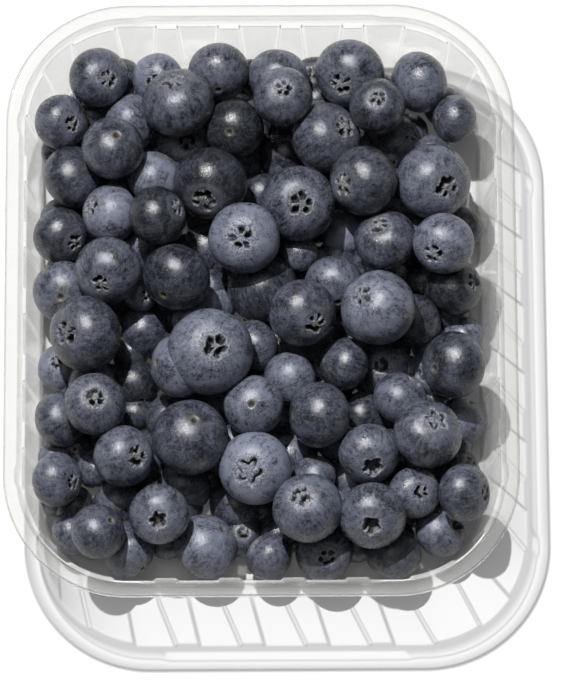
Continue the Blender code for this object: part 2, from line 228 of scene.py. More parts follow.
def node(tree, kind, inputs=None, **settings):
    """Adds a shader node. An input is a value for its socket, or another node's output to link."""
    made = tree.nodes.new("ShaderNode" + kind)
    for name, value in settings.items():
        setattr(made, name, value)
    for key, value in (inputs or {}).items():
        if isinstance(value, bpy.types.NodeSocket):
            tree.links.new(value, made.inputs[key])
        else:
            made.inputs[key].default_value = value
    return made


def new_material(name):
    """An empty material and its node tree."""
    material = bpy.data.materials.new(name)
    material.use_nodes = True
    material.node_tree.nodes.clear()
    return material, material.node_tree


# ---------------------------------------------------------------- punnet outline

STRAIGHT_X = RIM_WIDTH / 2 - CORNER_RADIUS
STRAIGHT_Y = RIM_LENGTH / 2 - CORNER_RADIUS
LEDGE_INSET = FLANGE + STEP_LEAN + LEDGE
STEP_FOOT = RIM_HEIGHT - STEP_DEPTH

# Lengths along the wall: one corner, and the back right quarter
WALL_ARC = CORNER_RADIUS - LEDGE_INSET
ARC_LENGTH = WALL_ARC * math.pi / 2
QUARTER = STRAIGHT_X + ARC_LENGTH + STRAIGHT_Y

# Lines of the sheet: the shares across a panel's edge at which they run, and their greatest spacing
EDGE_STEPS = (-0.35, 0.0, 0.2, 0.4, 0.6, 0.8, 1.0, 1.35)
ARC_STEP = 1.25 * MM
FLAT_STEP = 4.0 * MM
RUN_STEP = 2.3 * MM
SEAM = 1e-5
# How wide the lip is, and the margins by which a point counts as on the step or on the wall
LIP_STRIP = 0.7 * MM
NEAR, STEP_MARGIN, WALL_MARGIN, WALL_TOP_MARGIN = 0.1 * MM, 0.6 * MM, 0.5 * MM, 0.4 * MM

# A bend that turns this many radians in a millimetre counts as fully sharp
SHARP_TURN = 1.6
# The share of a lamp's light that the sheet turns aside at its bends, and on the rim's steep strips
BEND_KEEPS, STEEP_KEEPS = 0.28, 0.3
# How much more the walls' bends are veiled than the rim's, and how much an upright stretch is
WALL_SOFTER, UPRIGHT_SOFT = 2.5, 0.9
# How far the rim's flats have the lip's tint, and the insets between which the lip's fades out
FLAT_SHARE, LIP_FULL, LIP_END = 0.8, 0.5 * MM, 1.2 * MM
# How far from a bend its glint reaches, and the ledge's glint as a share of the lip's
GLINT_REACH, LEDGE_GLINT = 0.45 * MM, 0.3
LIP_GLINT_REACH = 1.3 * GLINT_REACH


def outline_point(along, inset):
    """The point a distance along the back right quarter, from the back's middle to the side's."""
    radius = CORNER_RADIUS - inset
    if along <= STRAIGHT_X:
        return along, RIM_LENGTH / 2 - inset
    if along >= STRAIGHT_X + ARC_LENGTH:
        return RIM_WIDTH / 2 - inset, QUARTER - along
    turn = (along - STRAIGHT_X) / WALL_ARC
    return STRAIGHT_X + radius * math.sin(turn), STRAIGHT_Y + radius * math.cos(turn)


def panel_centres():
    """Where the panels' middles lie along the back right quarter."""
    back = [k * END_PANEL_PITCH for k in range(3)]
    corner = [STRAIGHT_X + ARC_LENGTH / 2]
    side = [QUARTER - (k + 0.5) * SIDE_PANEL_PITCH for k in (2, 1, 0)]
    return back + corner + side


def stations():
    """(panel centre, side, share of the way across the panel's edge) of each line down the wall."""
    lines = []
    for centre in panel_centres():
        for share in EDGE_STEPS[::-1]:
            lines.append((centre, -1, share))
        for share in EDGE_STEPS:
            lines.append((centre, 1, share))
    lines = [(0.0, 0, 0.0)] + lines[len(EDGE_STEPS):]
    lines.append((QUARTER, 0, 1.0))
    filled = [lines[0]]
    for line in lines[1:]:
        start, end = along_at(filled[-1], PANEL_HALF), along_at(line, PANEL_HALF)
        on_arc = end > STRAIGHT_X and start < STRAIGHT_X + ARC_LENGTH
        parts = max(1, math.ceil((end - start) / (ARC_STEP if on_arc else FLAT_STEP)))
        pressed = 1.0 if filled[-1][2] >= 1 else 0.0
        for k in range(1, parts):
            filled.append((start + (end - start) * k / parts, 0, pressed))
        filled.append(line)
    return filled


def along_at(line, half):
    """Where a line lies along the quarter at a height where the panels are this half wide."""
    centre, side, share = line
    return centre + side * (half + share * PANEL_EDGE)


def rounded_profile(corners):
    """Points along a folded line given as (inset, height, fillet radius, pieces in the fillet)."""
    runs = []
    for before, here, after in zip(corners, corners[1:], corners[2:]):
        corner = Vector(here[:2])
        to_before = (Vector(before[:2]) - corner).normalized()
        to_after = (Vector(after[:2]) - corner).normalized()
        turn = math.pi - to_before.angle(to_after)
        reach = here[2] * math.tan(turn / 2)
        centre = corner + (to_before + to_after).normalized() * (here[2] / math.cos(turn / 2))
        start = corner + to_before * reach - centre
        end = corner + to_after * reach - centre
        shares = [k / here[3] for k in range(here[3] + 1)]
        runs.append([centre + (start * math.sin((1 - t) * turn) + end * math.sin(t * turn)) / math.sin(turn)
                     for t in shares])
    runs.append([Vector(corners[-1][:2])])
    points = [Vector(corners[0][:2])]
    for run in runs:
        pieces = max(1, round((run[0] - points[-1]).length / RUN_STEP))
        start = points[-1]
        points += [start.lerp(run[0], k / pieces) for k in range(1, pieces)]
        points += run
    return [tuple(point) for point in points]


def sheet_profile():
    """The upper face of the sheet from the lip's edge to the flat of the base."""
    wall_foot = LEDGE_INSET + WALL_LEAN
    return rounded_profile((
        (0.0, RIM_HEIGHT - LIP_DROP, *NO_BEND),
        (0.0, RIM_HEIGHT, *LIP_BEND),
        (FLANGE, RIM_HEIGHT, *STEP_BEND),
        (FLANGE + STEP_LEAN, STEP_FOOT, *LEDGE_BEND),
        (LEDGE_INSET, STEP_FOOT, *LEDGE_BEND),
        (wall_foot + FOOT_SLACK, BASE_FACE, *FOOT_BEND),
        (wall_foot + FOOT_ROUND + BASE_EDGE, BASE_FACE, *NO_BEND),
    ))


def pressed_depth(height, share):
    """How far a panel stands out at a height, and across its edge from the panel (0) to the wall (1)."""
    fade = smoothstep(PANEL_END_HEIGHT - PANEL_FADE, PANEL_END_HEIGHT + PANEL_FADE, height)
    return PANEL_DEPTH * float(fade) * (1 - float(smoothstep(0.0, 1.0, share)))


def step_shift(along):
    """The step's outward shift at the ends and at the nibs of the long sides."""
    y = outline_point(along, FLANGE)[1]
    at_end = smoothstep(END_SHIFT_HALF + END_SHIFT_EASE, END_SHIFT_HALF - END_SHIFT_EASE, along)
    nib = 1 - smoothstep(NIB_HALF - NIB_EASE, NIB_HALF + NIB_EASE, abs(y - NIB_AT))
    on_side = 1.0 if along > STRAIGHT_X + ARC_LENGTH / 2 else 0.0
    return END_SHIFT * float(at_end) + NIB_DEPTH * float(nib) * on_side


def sheet_point(line, inset, height):
    """A point of the sheet's upper face, with the panels and the step's details pressed in."""
    drop = min(1.0, max(0.0, (STEP_FOOT - height) / (STEP_FOOT - PANEL_END_HEIGHT)))
    half = PANEL_HALF + (PANEL_HALF_BELOW - PANEL_HALF) * drop
    along = along_at(line, half)
    pressed = 0.0
    if inset > LEDGE_INSET - WALL_MARGIN:
        pressed = pressed_depth(height, line[2])
    shift = 0.0
    if FLANGE - STEP_MARGIN < inset < LEDGE_INSET - WALL_MARGIN:
        shift = step_shift(along)
    return (*outline_point(along, inset - pressed - shift), height)


def on_step_or_lip(point):
    """Whether a point is on one of the two short upright strips of the rim."""
    inset = -float(rim_distance(point.x, point.y))
    upright = STEP_FOOT - NEAR < point.z < RIM_HEIGHT - WALL_MARGIN
    return inset < LIP_STRIP or (upright and FLANGE < inset < LEDGE_INSET)


def lip_share(vert):
    """1 on the lip, where the sheet is seen edge on, less on the rim's flats and 0 on the walls."""
    inset = -float(rim_distance(vert.co.x, vert.co.y))
    flat = float(smoothstep(STEP_FOOT - STEP_MARGIN, STEP_FOOT, vert.co.z)) * vert.normal.z**2
    return max(FLAT_SHARE * flat, float(smoothstep(LIP_END, LIP_FULL, inset)))


def glint_share(vert):
    """How much the rim glints in the key lamp: 1 on the front lip, less on its ledge, 0 at the back."""
    x, y, z = vert.co
    inset = -float(rim_distance(x, y))
    on_lip = inset < LIP_GLINT_REACH
    on_ledge = LEDGE_INSET - PANEL_DEPTH - GLINT_REACH < inset < LEDGE_INSET + GLINT_REACH
    on_ledge = on_ledge and z > STEP_FOOT - GLINT_REACH
    over_x, over_y = max(0.0, abs(x) - STRAIGHT_X), max(0.0, -y - STRAIGHT_Y)
    at_front = (over_y / max(TINY, math.hypot(over_x, over_y))) ** 2
    return at_front * (1.0 if on_lip else LEDGE_GLINT if on_ledge else 0.0)


def rim_distance(x, y):
    """Distance outwards from the rim's outline."""
    over_x = abs(x) - STRAIGHT_X
    over_y = abs(y) - STRAIGHT_Y
    round_part = math.hypot(max(over_x, 0), max(over_y, 0))
    return round_part + min(max(over_x, over_y), 0) - CORNER_RADIUS


def sharpness(vert):
    """How sharply the sheet bends at a point: 1 where it turns by SHARP_TURN in a millimetre."""
    turns = [0.0]
    for edge in vert.link_edges:
        length = edge.calc_length()
        if len(edge.link_faces) == 2 and length > TINY:
            width = sum(face.calc_area() for face in edge.link_faces) / length / 2
            turns.append(edge.calc_face_angle(0.0) / max(SEAM, width))
    return max(turns) * MM / SHARP_TURN


def punnet_sheet():
    """A quarter of the sheet's upper face, mirrored into four and given its thickness."""
    profile = sheet_profile()
    lines = stations()
    bm = bmesh.new()
    bmesh.ops.create_grid(bm, x_segments=len(lines) - 1, y_segments=len(profile) - 1, size=0.5)
    for vert in bm.verts:
        column = round((vert.co.x + 0.5) * (len(lines) - 1))
        row = round((0.5 - vert.co.y) * (len(profile) - 1))
        vert.co = sheet_point(lines[column], *profile[row])
    for axis in ("X", "Y"):
        bmesh.ops.mirror(bm, geom=bm.verts[:] + bm.edges[:] + bm.faces[:], axis=axis, merge_dist=SEAM)
    rim = [edge for edge in bm.edges if edge.is_boundary and edge.verts[0].co.z < BASE_FACE + NEAR]
    bmesh.ops.contextual_create(bm, geom=rim)
    bmesh.ops.recalc_face_normals(bm, faces=bm.faces)
    if max(bm.faces, key=lambda face: face.calc_center_median().z).normal.z < 0:
        bmesh.ops.reverse_faces(bm, faces=bm.faces)
    layers = bm.verts.layers.float
    names = ("bend", "kept_back", "thick", "glint")
    for name in names:
        layers.new(name)
    bend, kept, thick, glint = (layers[name] for name in names)
    for vert in bm.verts:
        sharp = sharpness(vert)
        vert[kept] = max(BEND_KEEPS * min(1.0, sharp), STEEP_KEEPS if on_step_or_lip(vert.co) else 0.0)
        softer = sharp * (WALL_SOFTER if vert.co.z < STEP_FOOT - WALL_TOP_MARGIN else 1.0)
        vert[bend] = min(1.0, max(softer, UPRIGHT_SOFT * (1 - abs(vert.normal.z))))
        vert[thick] = lip_share(vert)
        vert[glint] = glint_share(vert)
    obj = object_from(bm, "punnet_sheet")
    thickness = obj.modifiers.new("thickness", "SOLIDIFY")
    thickness.thickness = SHEET
    thickness.offset = -1
    thickness.use_even_offset = True
    return obj


# ---------------------------------------------------------------- settling

def wall_distance(x, y, z):
    """How far a point is past the wall's narrowest line at its height, below 0 inside the wall."""
    slope = WALL_LEAN / (STEP_FOOT - FOOT_HEIGHT)
    inset = LEDGE_INSET + (STEP_FOOT - np.minimum(z, STEP_FOOT)) * slope
    over_x = np.abs(x) - STRAIGHT_X
    over_y = np.abs(y) - STRAIGHT_Y
    round_part = np.sqrt(np.maximum(over_x, 0) ** 2 + np.maximum(over_y, 0) ** 2)
    return round_part + np.minimum(np.maximum(over_x, over_y), 0) - (CORNER_RADIUS - inset)


def push_apart(places, radii):
    """One pass that moves touching berries apart and keeps them in the punnet."""
    first, second = np.triu_indices(len(places), 1)
    step = places[second] - places[first]
    distance = np.sqrt(step[:, 0] ** 2 + step[:, 1] ** 2 + step[:, 2] ** 2)
    overlap = radii[first] + radii[second] - distance
    touching = overlap > 0
    first, second = first[touching], second[touching]
    shift = step[touching] * (overlap[touching] / distance[touching] / 2)[:, None]
    moves, touches = np.zeros_like(places), np.zeros(len(places))
    np.add.at(moves, first, -shift)
    np.add.at(moves, second, shift)
    np.add.at(touches, first, 1)
    np.add.at(touches, second, 1)
    places += moves / np.maximum(1, touches / 2)[:, None]
    places[:, 2] = np.maximum(places[:, 2], BASE_FACE + radii)
    x, y, z = places.T
    outside = wall_distance(x, y, z)
    slope_x = (wall_distance(x + TINY, y, z) - outside) / TINY
    slope_y = (wall_distance(x, y + TINY, z) - outside) / TINY
    excess = np.maximum(outside + radii * WALL_ROOM, 0)
    places[:, 0] -= excess * slope_x
    places[:, 1] -= excess * slope_y


def fill_gaps(places, radii, spots, least, swell):
    """Adds a berry in the roomiest spot, again and again, while one of least radius fits."""
    x, y, z = spots.T
    free = np.minimum(z - BASE_FACE, -wall_distance(x, y, z))
    free[np.hypot(x - BARE_X, y - BARE_Y) < BARE_RADIUS] = 0
    for place, radius in zip(places, radii):
        free = np.minimum(free, np.sqrt(((spots - place) ** 2).sum(axis=1)) - radius)
    while True:
        best = int(np.argmax(np.minimum(free, MOST_FILLER) - z * LOW_FIRST))
        if free[best] < least:
            best = int(np.argmax(free))
        if free[best] < least:
            return places, radii
        radius = min(free[best] * swell, MOST_FILLER)
        places = np.vstack([places, spots[best]])
        radii = np.append(radii, radius)
        free = np.minimum(free, np.sqrt(((spots - spots[best]) ** 2).sum(axis=1)) - radius)


def berry_spots():
    """A jittered lattice of places that a filling berry may take."""
    axes = [np.arange(low, high, step) * MM for low, high, step in SPOTS]
    spots = np.stack(np.meshgrid(*axes, indexing="ij"), -1).reshape(-1, 3)
    return spots + np.random.default_rng(SPOT_SEED).uniform(-SPOT_JITTER, SPOT_JITTER, spots.shape)


def settled_berries():
    """Centres and radii of the whole heap: the berries that show, then those that fill below."""
    home, radii = [], []
    for berries, height in (
        (UPPER_BERRIES, UPPER_HEIGHT),
        (MIDDLE_BERRIES, MIDDLE_HEIGHT),
        (LOWER_BERRIES, LOWER_HEIGHT),
        (FRONT_BERRIES, FRONT_HEIGHT),
    ):
        home += [(berry[0] * MM, berry[1] * MM, height) for berry in berries]
        radii += [berry[2] * MM / 2 for berry in berries]
    home, radii = np.array(home), np.array(radii)
    shown = len(home)
    places = home.copy()
    for _ in range(LOOSE_ROUNDS):
        places += (home - places) * LOOSE_HOLD
        push_apart(places, radii)
    spots = berry_spots()
    places, radii = fill_gaps(places, radii, spots, BIG_FILLER, SNUG)
    places, radii = fill_gaps(places, radii, spots, SMALL_FILLER, CROWDED)
    for _ in range(SETTLED_ROUNDS):
        places[:, 2] -= SINK
        places[:shown] += (home - places[:shown]) * SETTLED_HOLD
        for _ in range(PASSES):
            push_apart(places, radii * PRESSED)
    return places, radii


# ---------------------------------------------------------------- berry shape

# What the skin is told of each point of a berry, beside its places in the patterns
# The fold share is how dark the crown's sunken lobes are painted, as painted shade
SHARES = ("bloom", "calyx", "disc", "fold", "crown", "scar_rim", "scar")

# Angles from the crown's middle at which the rings of a berry lie, in degrees
FINE_RINGS = (
    [2.2, 4.4, 6.3, 8.0, 9.6, 11.2, 12.8, 14.3, 15.8, 17.3, 18.8, 20.2, 21.7, 23.4, 25.6, 28.5, 33.0]
    + [39.0 + 10.5 * k for k in range(12)]
    + [163.5, 168.5, 172.0, 174.8, 177.3]
)
COARSE_RINGS = (
    [3.5, 7.0, 10.5, 14.0, 17.5, 21.0, 25.0]
    + [33 + 12.0 * k for k in range(11)]
    + [162.0, 168.0, 173.0, 176.5]
)

# How fast the streaks in the bloom change from crown to stem, as a share of how fast they do round it
STREAK_STRETCH = 0.22
# Random places in the patterns of the skin, in mm, so that no two berries match
PATTERN_REACH = 400

# Sizes on a berry of radius 1. The uneven ball: its waves, its flattening and how flat its crown end is
LUMPS, LUMP_SIZE, LUMP_PITCH = 5, 0.012, 2.6
FIVE_SIDED, FLATTENED, CROWN_END_FLAT = 0.008, (0.86, 0.95), 0.05
# The crown: its radius, and how far its ring and collar stand up and its inside and lobes sink
CROWN_RADII = (0.31, 0.37)
RING_RISE, COLLAR_RISE, INSIDE_SINK, LOBE_SINK = 0.014, 0.01, 0.014, 0.25
# Its lobes, in crown radii: middle, half length and half width, how deep, and how far one strays in radians
LOBES = 5
LOBE_MIDDLE, LOBE_LONG, LOBE_WIDE = (0.56, 0.68), (0.2, 0.34), (0.17, 0.33)
LOBE_DEPTHS, LOBE_STRAY = (0.35, 0.75, 1.0, 1.0), 0.22
LOBE_NECK, LOBE_FLARE = 0.6, 0.65
# A crack between two lobes, given in the same way
CRACK_MIDDLE, CRACK_LONG, CRACK_WIDE, CRACK_DEPTH = (0.4, 0.6), 0.2, 0.3, 1.0
# The stem's scar: its radius, how far its rim stands up and its middle sinks, and the dip that it lies in
SCAR_RADII = (0.085, 0.12)
SCAR_RISE, SCAR_SINK, DIP_SINK, DIP_RADIUS = 0.012, 0.07, 0.03, 0.3
# Added to the distance from a crown or a scar on the far half of the berry, and past all of either
OTHER_HALF, FAR_OFF = 10, 9.0


def face_number(face, count):
    """A number of its own for each face of a mesh with this many points."""
    low = sorted(vert.index for vert in face.verts)[:3]
    return (low[0] * count + low[1]) * count + low[2]


def berry_blank(rings, around):
    """A unit ball, crown up, with its rings moved to where the detail is."""
    bm = bmesh.new()
    bmesh.ops.create_uvsphere(bm, u_segments=around, v_segments=len(rings) + 1, radius=1)
    angles = [0.0, *rings, 180.0]
    for vert in bm.verts:
        ring = round(math.acos(max(-1, min(1, vert.co.z))) / math.pi * (len(rings) + 1))
        tilt = math.radians(angles[ring])
        turn = math.atan2(vert.co.y, vert.co.x)
        vert.co = (math.sin(tilt) * math.cos(turn), math.sin(tilt) * math.sin(turn), math.cos(tilt))
    # The sphere's faces come in a new order on each run, so they are put in one that stays
    count = len(bm.verts)
    bm.verts.index_update()
    bm.faces.sort(key=lambda face: face_number(face, count))
    mesh = bpy.data.meshes.new("berry_blank")
    bm.to_mesh(mesh)
    bm.free()
    return mesh


def bumps(directions, rng, count, size, pitch):
    """Soft lumps: a few random waves through a ball."""
    total = np.zeros(len(directions))
    for _ in range(count):
        wave = rng.normal(size=3)
        wave *= pitch * rng.uniform(0.7, 1.3) / np.linalg.norm(wave)
        total += np.sin(directions @ wave + rng.uniform(0, 2 * math.pi))
    return total * size / math.sqrt(count)


def waves(turn, rng, orders, size):
    """A ragged line round the crown: a sum of waves of these orders."""
    total = sum(rng.uniform(0.3, 1) * np.sin(turn * k + rng.uniform(0, math.tau)) for k in orders)
    return total * size / math.sqrt(len(orders))


def crown_lobes(across, turn, size, start, rng):
    """Distance from the sunken lobes of a crown (1 at their edge), and how deep each goes."""
    nearest = np.full(len(across), FAR_OFF)
    depth = np.zeros(len(across))
    ragged = waves(turn, rng, (5, 8, 11, 16, 21), 0.3)
    lobes = []
    for k in range(LOBES):
        heading = start + k * math.tau / LOBES + rng.uniform(-LOBE_STRAY, LOBE_STRAY)
        spans = [rng.uniform(*limits) for limits in (LOBE_MIDDLE, LOBE_LONG, LOBE_WIDE)]
        lobes.append((heading, *spans, rng.choice(LOBE_DEPTHS)))
    for _ in range(rng.integers(0, 3)):
        k = rng.integers(0, LOBES)
        heading = start + (k + rng.uniform(0.3, 0.7)) * math.tau / LOBES
        lobes.append((heading, rng.uniform(*CRACK_MIDDLE), CRACK_LONG, CRACK_WIDE, CRACK_DEPTH))
    for heading, middle, long_half, wide_half, deep in lobes:
        out = across * np.cos(turn - heading) / size
        along = (out - middle) / long_half
        flared = wide_half * (LOBE_NECK + LOBE_FLARE * np.clip(out, 0, 1))
        aside = across * np.sin(turn - heading) / size / flared
        apart = np.sqrt(along**2 + aside**2) + ragged
        depth = np.maximum(depth, deep * smoothstep(1.12, 0.88, apart))
        nearest = np.minimum(nearest, apart)
    return nearest, depth


def crown_relief(directions, end, rng):
    """Relief of the crown on a unit ball, its shares of calyx, disc and folds, and the whole of it.

    The calyx is pale and the dried disc tan, and the folds are painted dark as shade that falls
    in the sunken lobes. A crown has five sunken lobes round a pale star. In an open crown (o) the
    star is gone and a five-sided pit is left, and in a closed one (e) a thin fold is all that is
    left of the lobes.
    """
    x, y, z = directions.T
    across = np.sqrt(x * x + y * y) + (z < 0) * OTHER_HALF
    turn = np.arctan2(y, x)
    size = rng.uniform(*CROWN_RADII)
    start = rng.uniform(0, math.tau)
    part = across / size * (1 + waves(turn, rng, (2, 3, 5), 0.05))
    ragged = waves(turn, rng, (3, 5, 7, 9, 12), 0.5)
    pit = 0 * part
    if end == "e":
        five = np.cos(5 * (turn - start) + waves(turn, rng, (1, 2), 0.8))
        edge = part / (0.78 + 0.17 * five + waves(turn, rng, (3, 7), 0.06))
        broken = 0.55 + 1.5 * waves(turn, rng, (1, 2, 3, 6), 0.6)
        fold = ridge(edge, 1, 0.13) * np.clip(broken, 0, 1)
        rim = ridge(edge, 1.25, 0.15)
        depth = 0.8 * fold
    else:
        nearest, depth = crown_lobes(across, turn, size, start, rng)
        if end == "o":
            five = 1 + 0.12 * np.cos(5 * (turn - start)) + waves(turn, rng, (2, 3, 8), 0.07)
            hole = (part - 0.1 * np.cos(turn - rng.uniform(0, math.tau))) / five
            pit = smoothstep(0.86, 0.7, hole)
            nearest = np.minimum(nearest, hole / 0.78)
        rim = ridge(nearest, 1.2, 0.12) * smoothstep(1.5, 1.05, part)
    inside = smoothstep(1.08, 0.85, part)
    collar = ridge(part, 1.26, 0.2) * np.clip(0.75 + ragged, 0, 1.6)
    disc = np.maximum(smoothstep(0.5, 0.2, part) * (1 - depth) * rng.uniform(0, 1.0), 0.7 * pit)
    rough = waves(turn, rng, (6, 11, 15), 0.01) * inside
    sunk = np.maximum(depth, 1.1 * pit)
    relief = RING_RISE * rim + COLLAR_RISE * collar - INSIDE_SINK * inside - LOBE_SINK * sunk + rough
    calyx = np.clip((0.75 + 0.9 * ragged) * rim + 0.25 * inside + 0.16 * collar, 0, 1)
    # How dark the folds are painted: shade painted into the sunken lobes and the open pit
    depth = np.clip(1.7 * np.maximum(depth * (1 - 0.5 * pit), 0.25 * pit), 0, 1)
    return relief, calyx * (1 - depth), disc, depth, smoothstep(1.65, 1.15, part)


def stem_relief(directions, rng):
    """Relief of the scar that the stem leaves on a unit ball, with its dark middle and its rim."""
    x, y, z = directions.T
    across = np.sqrt(x * x + y * y) + (z > 0) * OTHER_HALF
    scar = rng.uniform(*SCAR_RADII)
    hollow = smoothstep(scar * 1.15, scar * 0.5, across)
    rim = ridge(across, scar * 1.2, scar * 0.35)
    dip = ridge(across, 0, DIP_RADIUS)
    relief = SCAR_RISE * rim - SCAR_SINK * hollow - DIP_SINK * dip
    return relief, rim, hollow


def berry_shape(directions, end, rng):
    """Points of a unit berry, crown up, and its shares of calyx, disc, painted fold shade, crown, rim and
    scar.
    """
    x, y, z = directions.T
    turn = np.arctan2(y, x)
    relief, calyx, disc, fold_shade, crown = crown_relief(directions, end, rng)
    stem, rim, scar = stem_relief(directions, rng)
    girth = np.sqrt(x * x + y * y)
    five = FIVE_SIDED * rng.uniform(0, 1.4) * np.cos(5 * turn + rng.uniform(0, 6.3)) * girth**2
    out = 1 + bumps(directions, rng, LUMPS, LUMP_SIZE, LUMP_PITCH) + five
    points = directions * out[:, None]
    flat = rng.uniform(*FLATTENED)
    points[:, 2] *= flat
    points[:, 2] -= CROWN_END_FLAT * smoothstep(0.75, 1.0, z)
    points += directions * (relief + stem)[:, None]
    points *= 1.0 / flat**0.4
    return points, (calyx, disc, fold_shade, crown, rim, scar)


def covers_bare_spot(x, y, radius):
    """Whether a berry on the base would cover a spot that stays bare."""
    return any(math.hypot(x - at_x * MM, y - at_y * MM) < radius + bare * MM
               for at_x, at_y, bare in BARE_SPOTS)


def low_berries(rng):
    """Small berries on the base, set close enough to press together, clear of the walls."""
    low = []
    for row in LOW_ROWS:
        for column in LOW_COLUMNS:
            x = (column + 0.5 * (row % 2)) * LOW_PITCH + rng.uniform(-1, 1) * LOW_JITTER
            y = row * LOW_PITCH * LOW_ROW_SHARE + rng.uniform(-1, 1) * LOW_JITTER
            radius = rng.uniform(*LOW_RADII)
            height = BASE_FACE + radius * LOW_HEIGHT_SHARE
            clear_of_wall = wall_distance(x, y, height) < -radius - LOW_MARGIN
            if clear_of_wall and not covers_bare_spot(x, y, radius):
                lean, heading = rng.uniform(0, 180), rng.uniform(0, 360)
                low.append(((x, y, height), radius, "n", lean, heading, LOW_BLOOM))
    return low


def twin_of(berries):
    """The berry that has grown onto the side of the one at TWIN_ON."""
    nearest = min(berries, key=lambda berry: math.dist(berry[0][:2], TWIN_ON))
    place, radius, bloom = nearest[0], nearest[1], nearest[5]
    return (np.array(place) + radius * np.array(TWIN_WAY), radius * TWIN_SHARE, "n", 120, 0, bloom)


def facing_turn(end, lean, heading, roll):
    """The turn that brings a berry's crown or stem end to a lean from up and a heading."""
    turn = Matrix.Rotation(math.radians(heading), 3, "Z") @ Matrix.Rotation(math.radians(lean), 3, "Y")
    if end == "s":
        turn = turn @ Matrix.Rotation(math.pi, 3, "X")
    return np.array(turn @ Matrix.Rotation(roll, 3, "Z"))


def berry_piece(name, berries, rings, around, seed):
    """One joined mesh of berries, each given as (place, radius, end, lean, heading, bloom)."""
    blank = berry_blank(rings, around)
    directions = np.empty(len(blank.vertices) * 3, np.float32)
    blank.vertices.foreach_get("co", directions)
    directions = directions.reshape(-1, 3).astype(float)
    directions /= np.linalg.norm(directions, axis=1)[:, None]
    bm = bmesh.new()
    for _ in berries:
        bm.from_mesh(blank)
    piece = object_from(bm, name)
    rng = np.random.default_rng(seed)
    places, skins, streaks, shares = [], [], [], []
    girth = np.linalg.norm(directions[:, :2], axis=1)
    around_stem = directions[:, :2] / np.maximum(girth, 0.01)[:, None]
    from_crown = np.arccos(np.clip(directions[:, 2:], -1, 1)) * STREAK_STRETCH
    runs = np.concatenate([around_stem, from_crown], 1)
    for place, radius, end, lean, heading, bloom in berries:
        points, marks = berry_shape(directions, end, rng)
        turn = facing_turn(end, lean, heading, rng.uniform(0, math.tau))
        places.append(points @ turn.T * radius + place)
        skins.append(points * radius / MM + rng.uniform(-PATTERN_REACH, PATTERN_REACH, 3))
        streaks.append(runs * radius / MM + rng.uniform(-PATTERN_REACH, PATTERN_REACH, 3))
        shares.append(np.stack([np.full(len(points), bloom), *marks], 1))
    shares = np.concatenate(shares)
    piece.data.vertices.foreach_set("co", np.concatenate(places).astype(np.float32).ravel())
    for label, points in (("skin", skins), ("streaks", streaks)):
        layer = piece.data.attributes.new(label, "FLOAT_VECTOR", "POINT")
        layer.data.foreach_set("vector", np.concatenate(points).astype(np.float32).ravel())
    for column, share in enumerate(SHARES):
        layer = piece.data.attributes.new(share, "FLOAT", "POINT")
        layer.data.foreach_set("value", shares[:, column].astype(np.float32))
    piece.data.update()
    return piece


# ---------------------------------------------------------------- materials

# Clear sheet: its tints and the tones of its bends, on the rim and on the walls
RIM_TINT, WALL_TINT = "e9eae7", "fcfdfa"
RIM_BEND_TONE, WALL_BEND_TONE = "eeefec", "fcfcfb"
PET_IOR, PET_ROUGHNESS, GLINT_ROUGHNESS = 1.575, 0.03, 0.5
# How much of the glass a full bend veils, and the glint in that veil: on any bend, and what the
# front lip adds
BEND_VEIL, BEND_GLINT, RIM_GLINT = 0.85, 0.03, 0.55
# The share of lamp light lost where the sheet faces the lamp, the share more that is lost where it
# stands edge on, and how late that comes as it tilts
FLAT_LOSS, STEEP_LOSS, STEEP_POWER = 0.03, 0.96, 4.0
# A ray that has turned more often than this inside the sheet leaves it straight
MOST_TURNS = 3.5

# Berry skin, under the bloom and in it, and the dry parts of crown and scar
SKIN_DARK, SKIN_BLOOM = "191b20", "767b8b"
CALYX_PALE = "a6a8ac"
DISC_DARK, DISC_PALE = "474443", "a2a19f"
SCAR_RIM = "7d7662"
# Near black, painted into the crown's folds as shade, and into its pits and the scar's middle
SHADE_AND_PIT_BLACK = "0b0a0b"
# Its gloss: the specular level, the roughness bare and under full bloom, and what dryness adds
SKIN_SPECULAR, SHINY_SKIN, BLOOMED_SKIN, DRY_ADDS = 0.6, 0.22, 0.38, 0.5
# The bloom's patterns: what each lies on, its scale in turns a millimetre, detail, roughness,
# distortion and weight. They are patches about 4.5 mm wide, mottling of 1 mm, specks of wax, and
# streaks from crown to stem. Real wax is finer than 0.1 mm, so its specks are drawn at 0.3 mm.
BLOOM_PATTERNS = (
    ("skin", 0.22, 2.0, 0.5, 0.6, 1.6),
    ("skin", 0.95, 3.0, 0.6, 0.5, 1.5),
    ("skin", 3.6, 2.0, 0.7, 0.0, 1.7),
    ("streaks", 1.3, 3.0, 0.6, 0.0, 1.1),
)
# Their weighted sum where the bloom is just the berry's own, the least they swing it by on the
# darkest berry, and what a crown adds
EVEN_BLOOM, LEAST_SWING, CROWN_BLOOM = 3.05, 0.22, 0.22
# Dots about 0.5 mm across where the bloom is rubbed off, one in each 2.4 mm of skin
DOT_SCALE, DOT_CLEAR, DOT_FULL, DOT_LOSS = 0.42, 0.13, 0.06, 0.8
# Flecks of 0.4 mm, which make the painted shade of the folds ragged and pit the crown
FLECK_SCALE, FLECK_SHARE, FOLD_SHADE_START, PIT_SHARE = 2.6, 1.5, 0.75, 0.8
BUMP_STRENGTH, BUMP_HEIGHT, MOTTLE_HEIGHT = 0.5, 0.15 * MM, 0.8

FLOOR_DARK, FLOOR_PALE = "d4d4d4", "d7d7d7"


